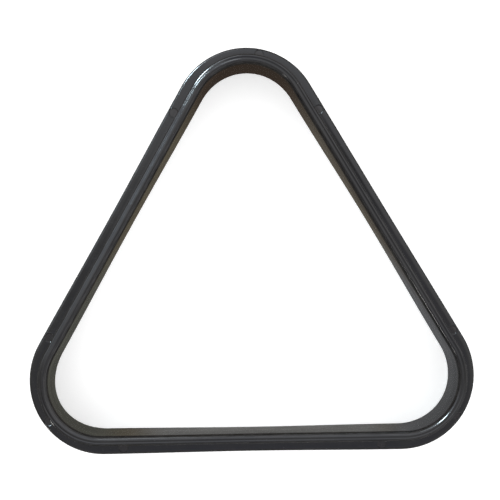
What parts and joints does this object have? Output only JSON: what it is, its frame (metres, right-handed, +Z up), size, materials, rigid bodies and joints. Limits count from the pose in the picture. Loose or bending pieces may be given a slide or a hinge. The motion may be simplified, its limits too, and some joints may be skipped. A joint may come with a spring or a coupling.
{
  "type": "triangle ball rack",
  "caption": "Rigid black plastic triangle rack that gathers pool balls into a tight triangle, with an outward grip flange round its wall.",
  "frame": {"origin": "middle of the bounding box, on the plane that the rack's lower edge rests on", "axes": "+Z up from the table, +Y towards the apex, +X to the right; the base side runs along X"},
  "size_m": [0.3226, 0.2938, 0.05],
  "materials": {
    "wall_plastic": "polished black injection-moulded plastic with fine handling scratches",
    "flange_plastic": "polished black injection-moulded plastic, slightly duller from handling, with round ejector-pin marks"
  },
  "bodies": {
    "root": {"apex_wall": "wall_plastic", "apex_flange": "flange_plastic", "left_corner_wall": "wall_plastic", "left_corner_flange": "flange_plastic", "right_corner_wall": "wall_plastic", "right_corner_flange": "flange_plastic", "left_side_wall": "wall_plastic", "left_side_flange": "flange_plastic", "right_side_wall": "wall_plastic", "right_side_flange": "flange_plastic", "base_side_wall": "wall_plastic", "base_side_flange": "flange_plastic"}
  },
  "joints": []
}
